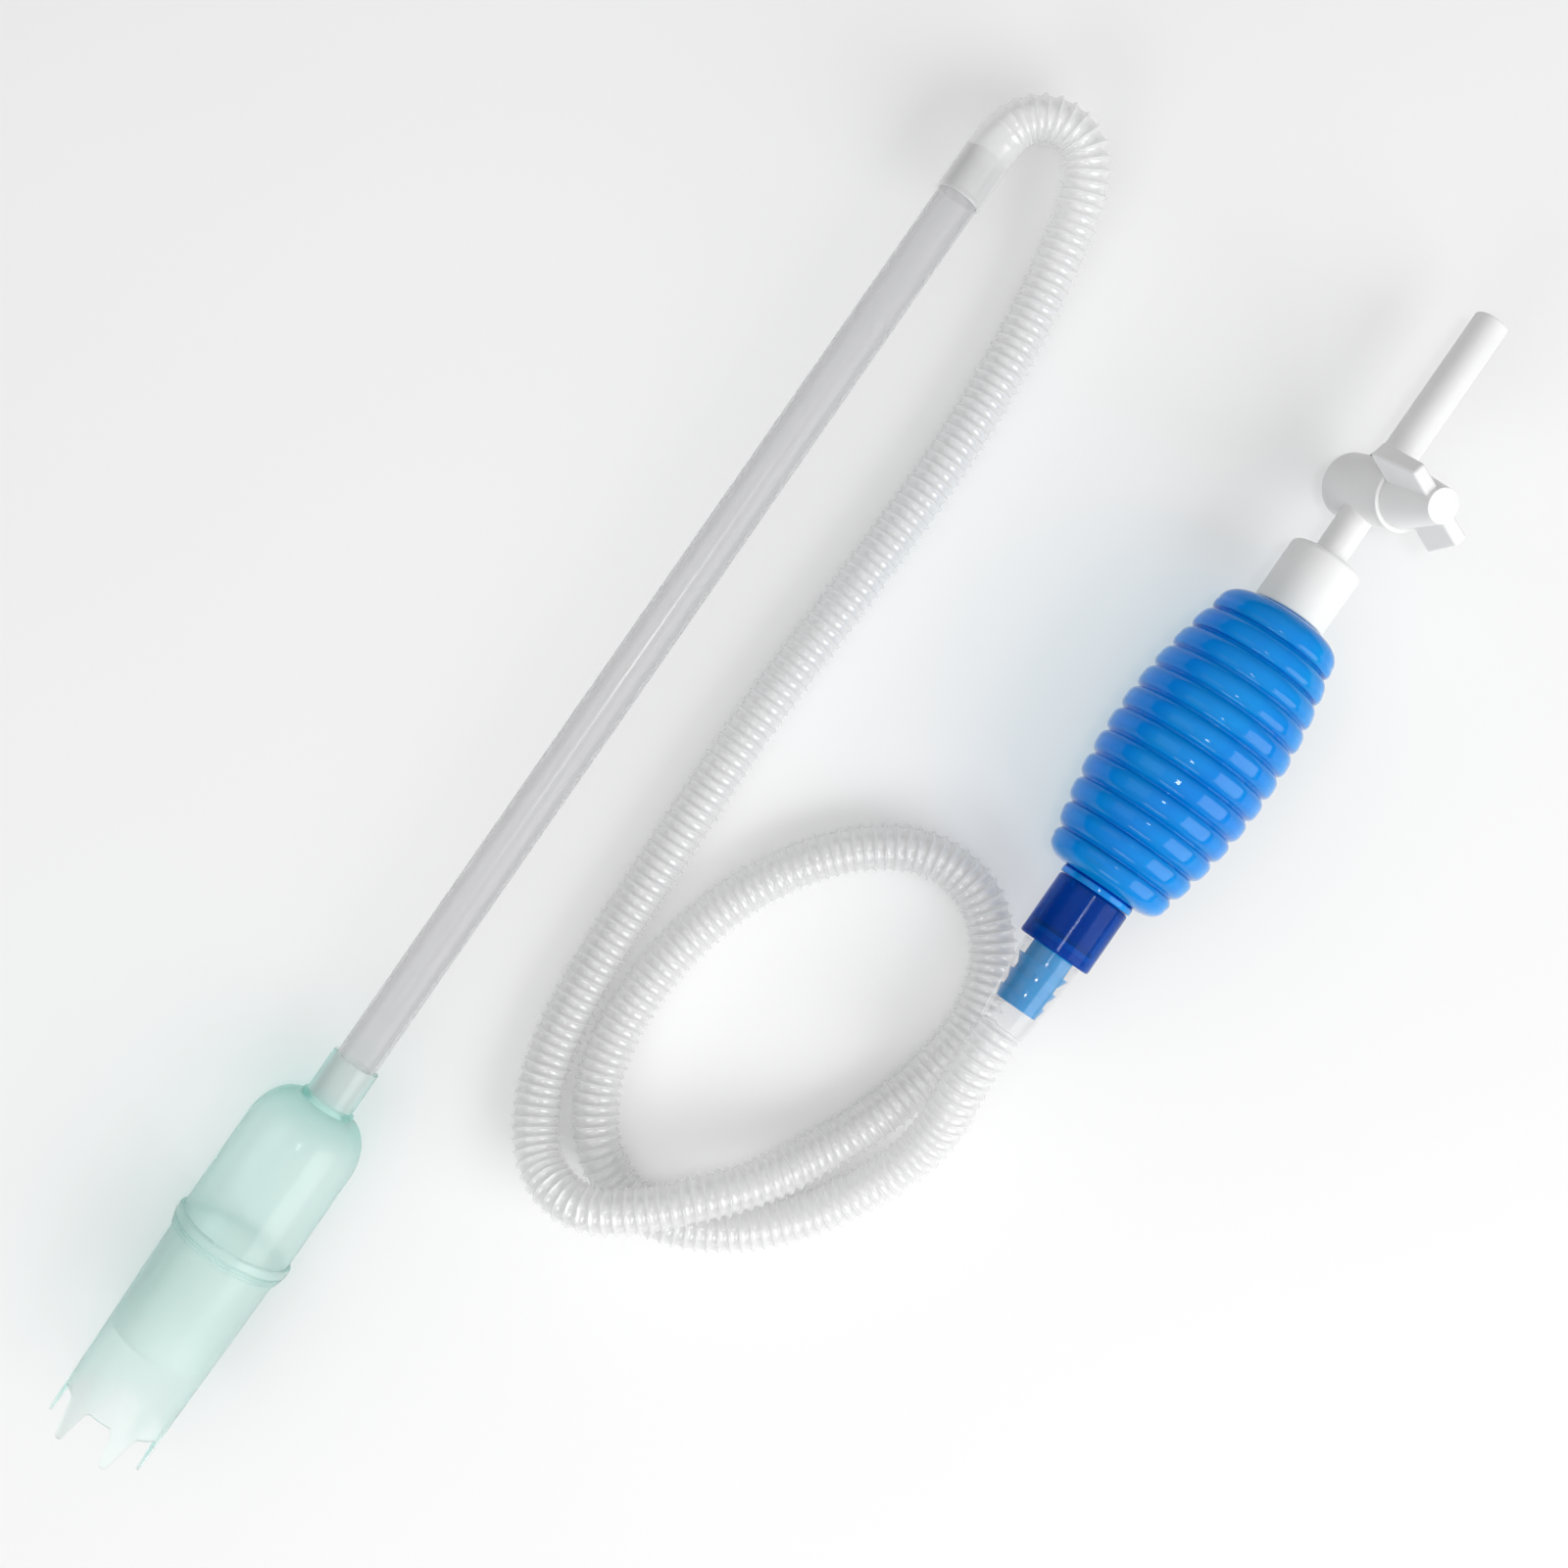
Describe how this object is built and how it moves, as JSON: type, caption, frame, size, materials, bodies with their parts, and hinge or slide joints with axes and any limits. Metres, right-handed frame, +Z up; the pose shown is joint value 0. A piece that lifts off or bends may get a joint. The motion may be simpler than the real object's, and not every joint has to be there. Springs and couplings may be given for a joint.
{
  "type": "gravel vacuum siphon",
  "caption": "Aquarium gravel siphon: toothed chamber on a clear wand, corrugated hose, ribbed squeeze bulb, small barrel valve and spout.",
  "frame": {"origin": "middle of the floor rectangle under the object as it lies, hose left out", "axes": "+Z up; +Y along the wand from the chamber's mouth to the hose end, and along the bulb to the spout; +X from the wand to the bulb"},
  "size_m": [0.2366, 0.6144, 0.072],
  "materials": {
    "mint_plastic": "frosted translucent moulded plastic",
    "clear_tube": "clear extruded tube",
    "soft_cuff": "soft translucent PVC",
    "hose_pvc": "corrugated translucent soft PVC",
    "light_blue_plastic": "smooth moulded plastic",
    "blue_plastic": "translucent moulded plastic",
    "seat_plastic": "moulded plastic",
    "seal_rubber": "soft rubber",
    "red_rubber": "soft silicone rubber",
    "bulb_pvc": "glossy translucent soft PVC",
    "white_plastic": "satin moulded plastic",
    "plug_plastic": "moulded acetal"
  },
  "bodies": {
    "root": {"wand_tube": "clear_tube", "wand_cuff": "hose_pvc", "hose": "hose_pvc", "pump_cuff": "soft_cuff", "inlet_spigot": "light_blue_plastic", "inlet_collar": "blue_plastic", "inlet_valve_seat": "seat_plastic", "inlet_gasket": "seal_rubber", "squeeze_bulb": "bulb_pvc", "outlet_cap": "white_plastic", "cap_gasket": "seal_rubber", "outlet_valve_seat": "seat_plastic", "valve_body": "white_plastic", "retaining_ring": "white_plastic", "outlet_spout": "white_plastic"},
    "chamber": {"gravel_chamber": "mint_plastic"},
    "sleeve": {"crown_sleeve": "mint_plastic"},
    "inlet_flap": {"inlet_flap": "red_rubber"},
    "outlet_flap": {"outlet_flap": "red_rubber"},
    "valve": {"valve_plug": "plug_plastic", "plug_seals": "seal_rubber", "valve_handle": "white_plastic"}
  },
  "joints": [
    {"name": "chamber_pull_off", "type": "slide", "parent": "root", "child": "chamber", "axis": [0, -1, 0], "range_m": [0, 0.017]},
    {"name": "sleeve_pull_off", "type": "slide", "parent": "chamber", "child": "sleeve", "axis": [0, -1, 0], "range_m": [0, 0.05]},
    {"name": "valve_turn", "type": "hinge", "parent": "root", "child": "valve", "pos_m": [0.08706, 0.234, 0.03124], "axis": [0.4384, 0, 0.8988], "range_deg": [-75, 15]},
    {"name": "inlet_flap_lift", "type": "slide", "parent": "root", "child": "inlet_flap", "axis": [0, 1, 0], "range_m": [0, 0.002], "stiffness_N_per_m": 20},
    {"name": "outlet_flap_lift", "type": "slide", "parent": "root", "child": "outlet_flap", "axis": [0, 1, 0], "range_m": [0, 0.002], "stiffness_N_per_m": 20}
  ]
}
